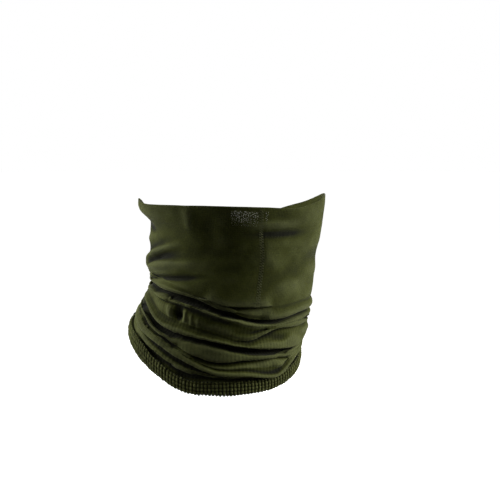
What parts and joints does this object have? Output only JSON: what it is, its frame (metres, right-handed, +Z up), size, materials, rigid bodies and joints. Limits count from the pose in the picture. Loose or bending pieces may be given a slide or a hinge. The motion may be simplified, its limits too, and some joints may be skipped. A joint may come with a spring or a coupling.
{
  "type": "neck gaiter",
  "caption": "Soft knitted neck gaiter shown worn: a smooth face panel over a gathered grid-fleece neck panel with a turned cuff.",
  "frame": {"origin": "on the neck's axis, level with the lowest point of the cuff at the chest", "axes": "+Z up along the neck, -Y the way the wearer looks, +X to the right of a viewer who faces the wearer"},
  "size_m": [0.1812, 0.155, 0.1751],
  "materials": {
    "brushed_jersey": "matte",
    "grid_fleece": "matte",
    "sewing_thread": "satin",
    "reflective_film": "satin",
    "label_tape": "satin"
  },
  "bodies": {
    "neck_tube": {"neck_panel": "grid_fleece", "neck_seam_thread": "sewing_thread", "cuff_band": "grid_fleece", "cuff_stitching": "sewing_thread"},
    "face_tube": {"face_panel": "brushed_jersey", "rim_facing": "brushed_jersey", "rim_stitching": "sewing_thread", "face_seam_thread": "sewing_thread", "reflective_dots": "reflective_film", "joining_seam_thread": "sewing_thread", "label_stitching": "sewing_thread"},
    "label_tab": {"care_label": "label_tape"}
  },
  "joints": [
    {"name": "front_pull_down", "type": "hinge", "parent": "neck_tube", "child": "face_tube", "pos_m": [0, 0.068, 0.108], "axis": [1, 0, 0], "range_deg": [-12, 18], "deforming": ["neck_panel", "neck_seam_thread"]},
    {"name": "label_flip", "type": "hinge", "parent": "face_tube", "child": "label_tab", "pos_m": [0.007, 0.0656, 0.1305], "axis": [-1, 0, 0], "range_deg": [0, 120]}
  ]
}
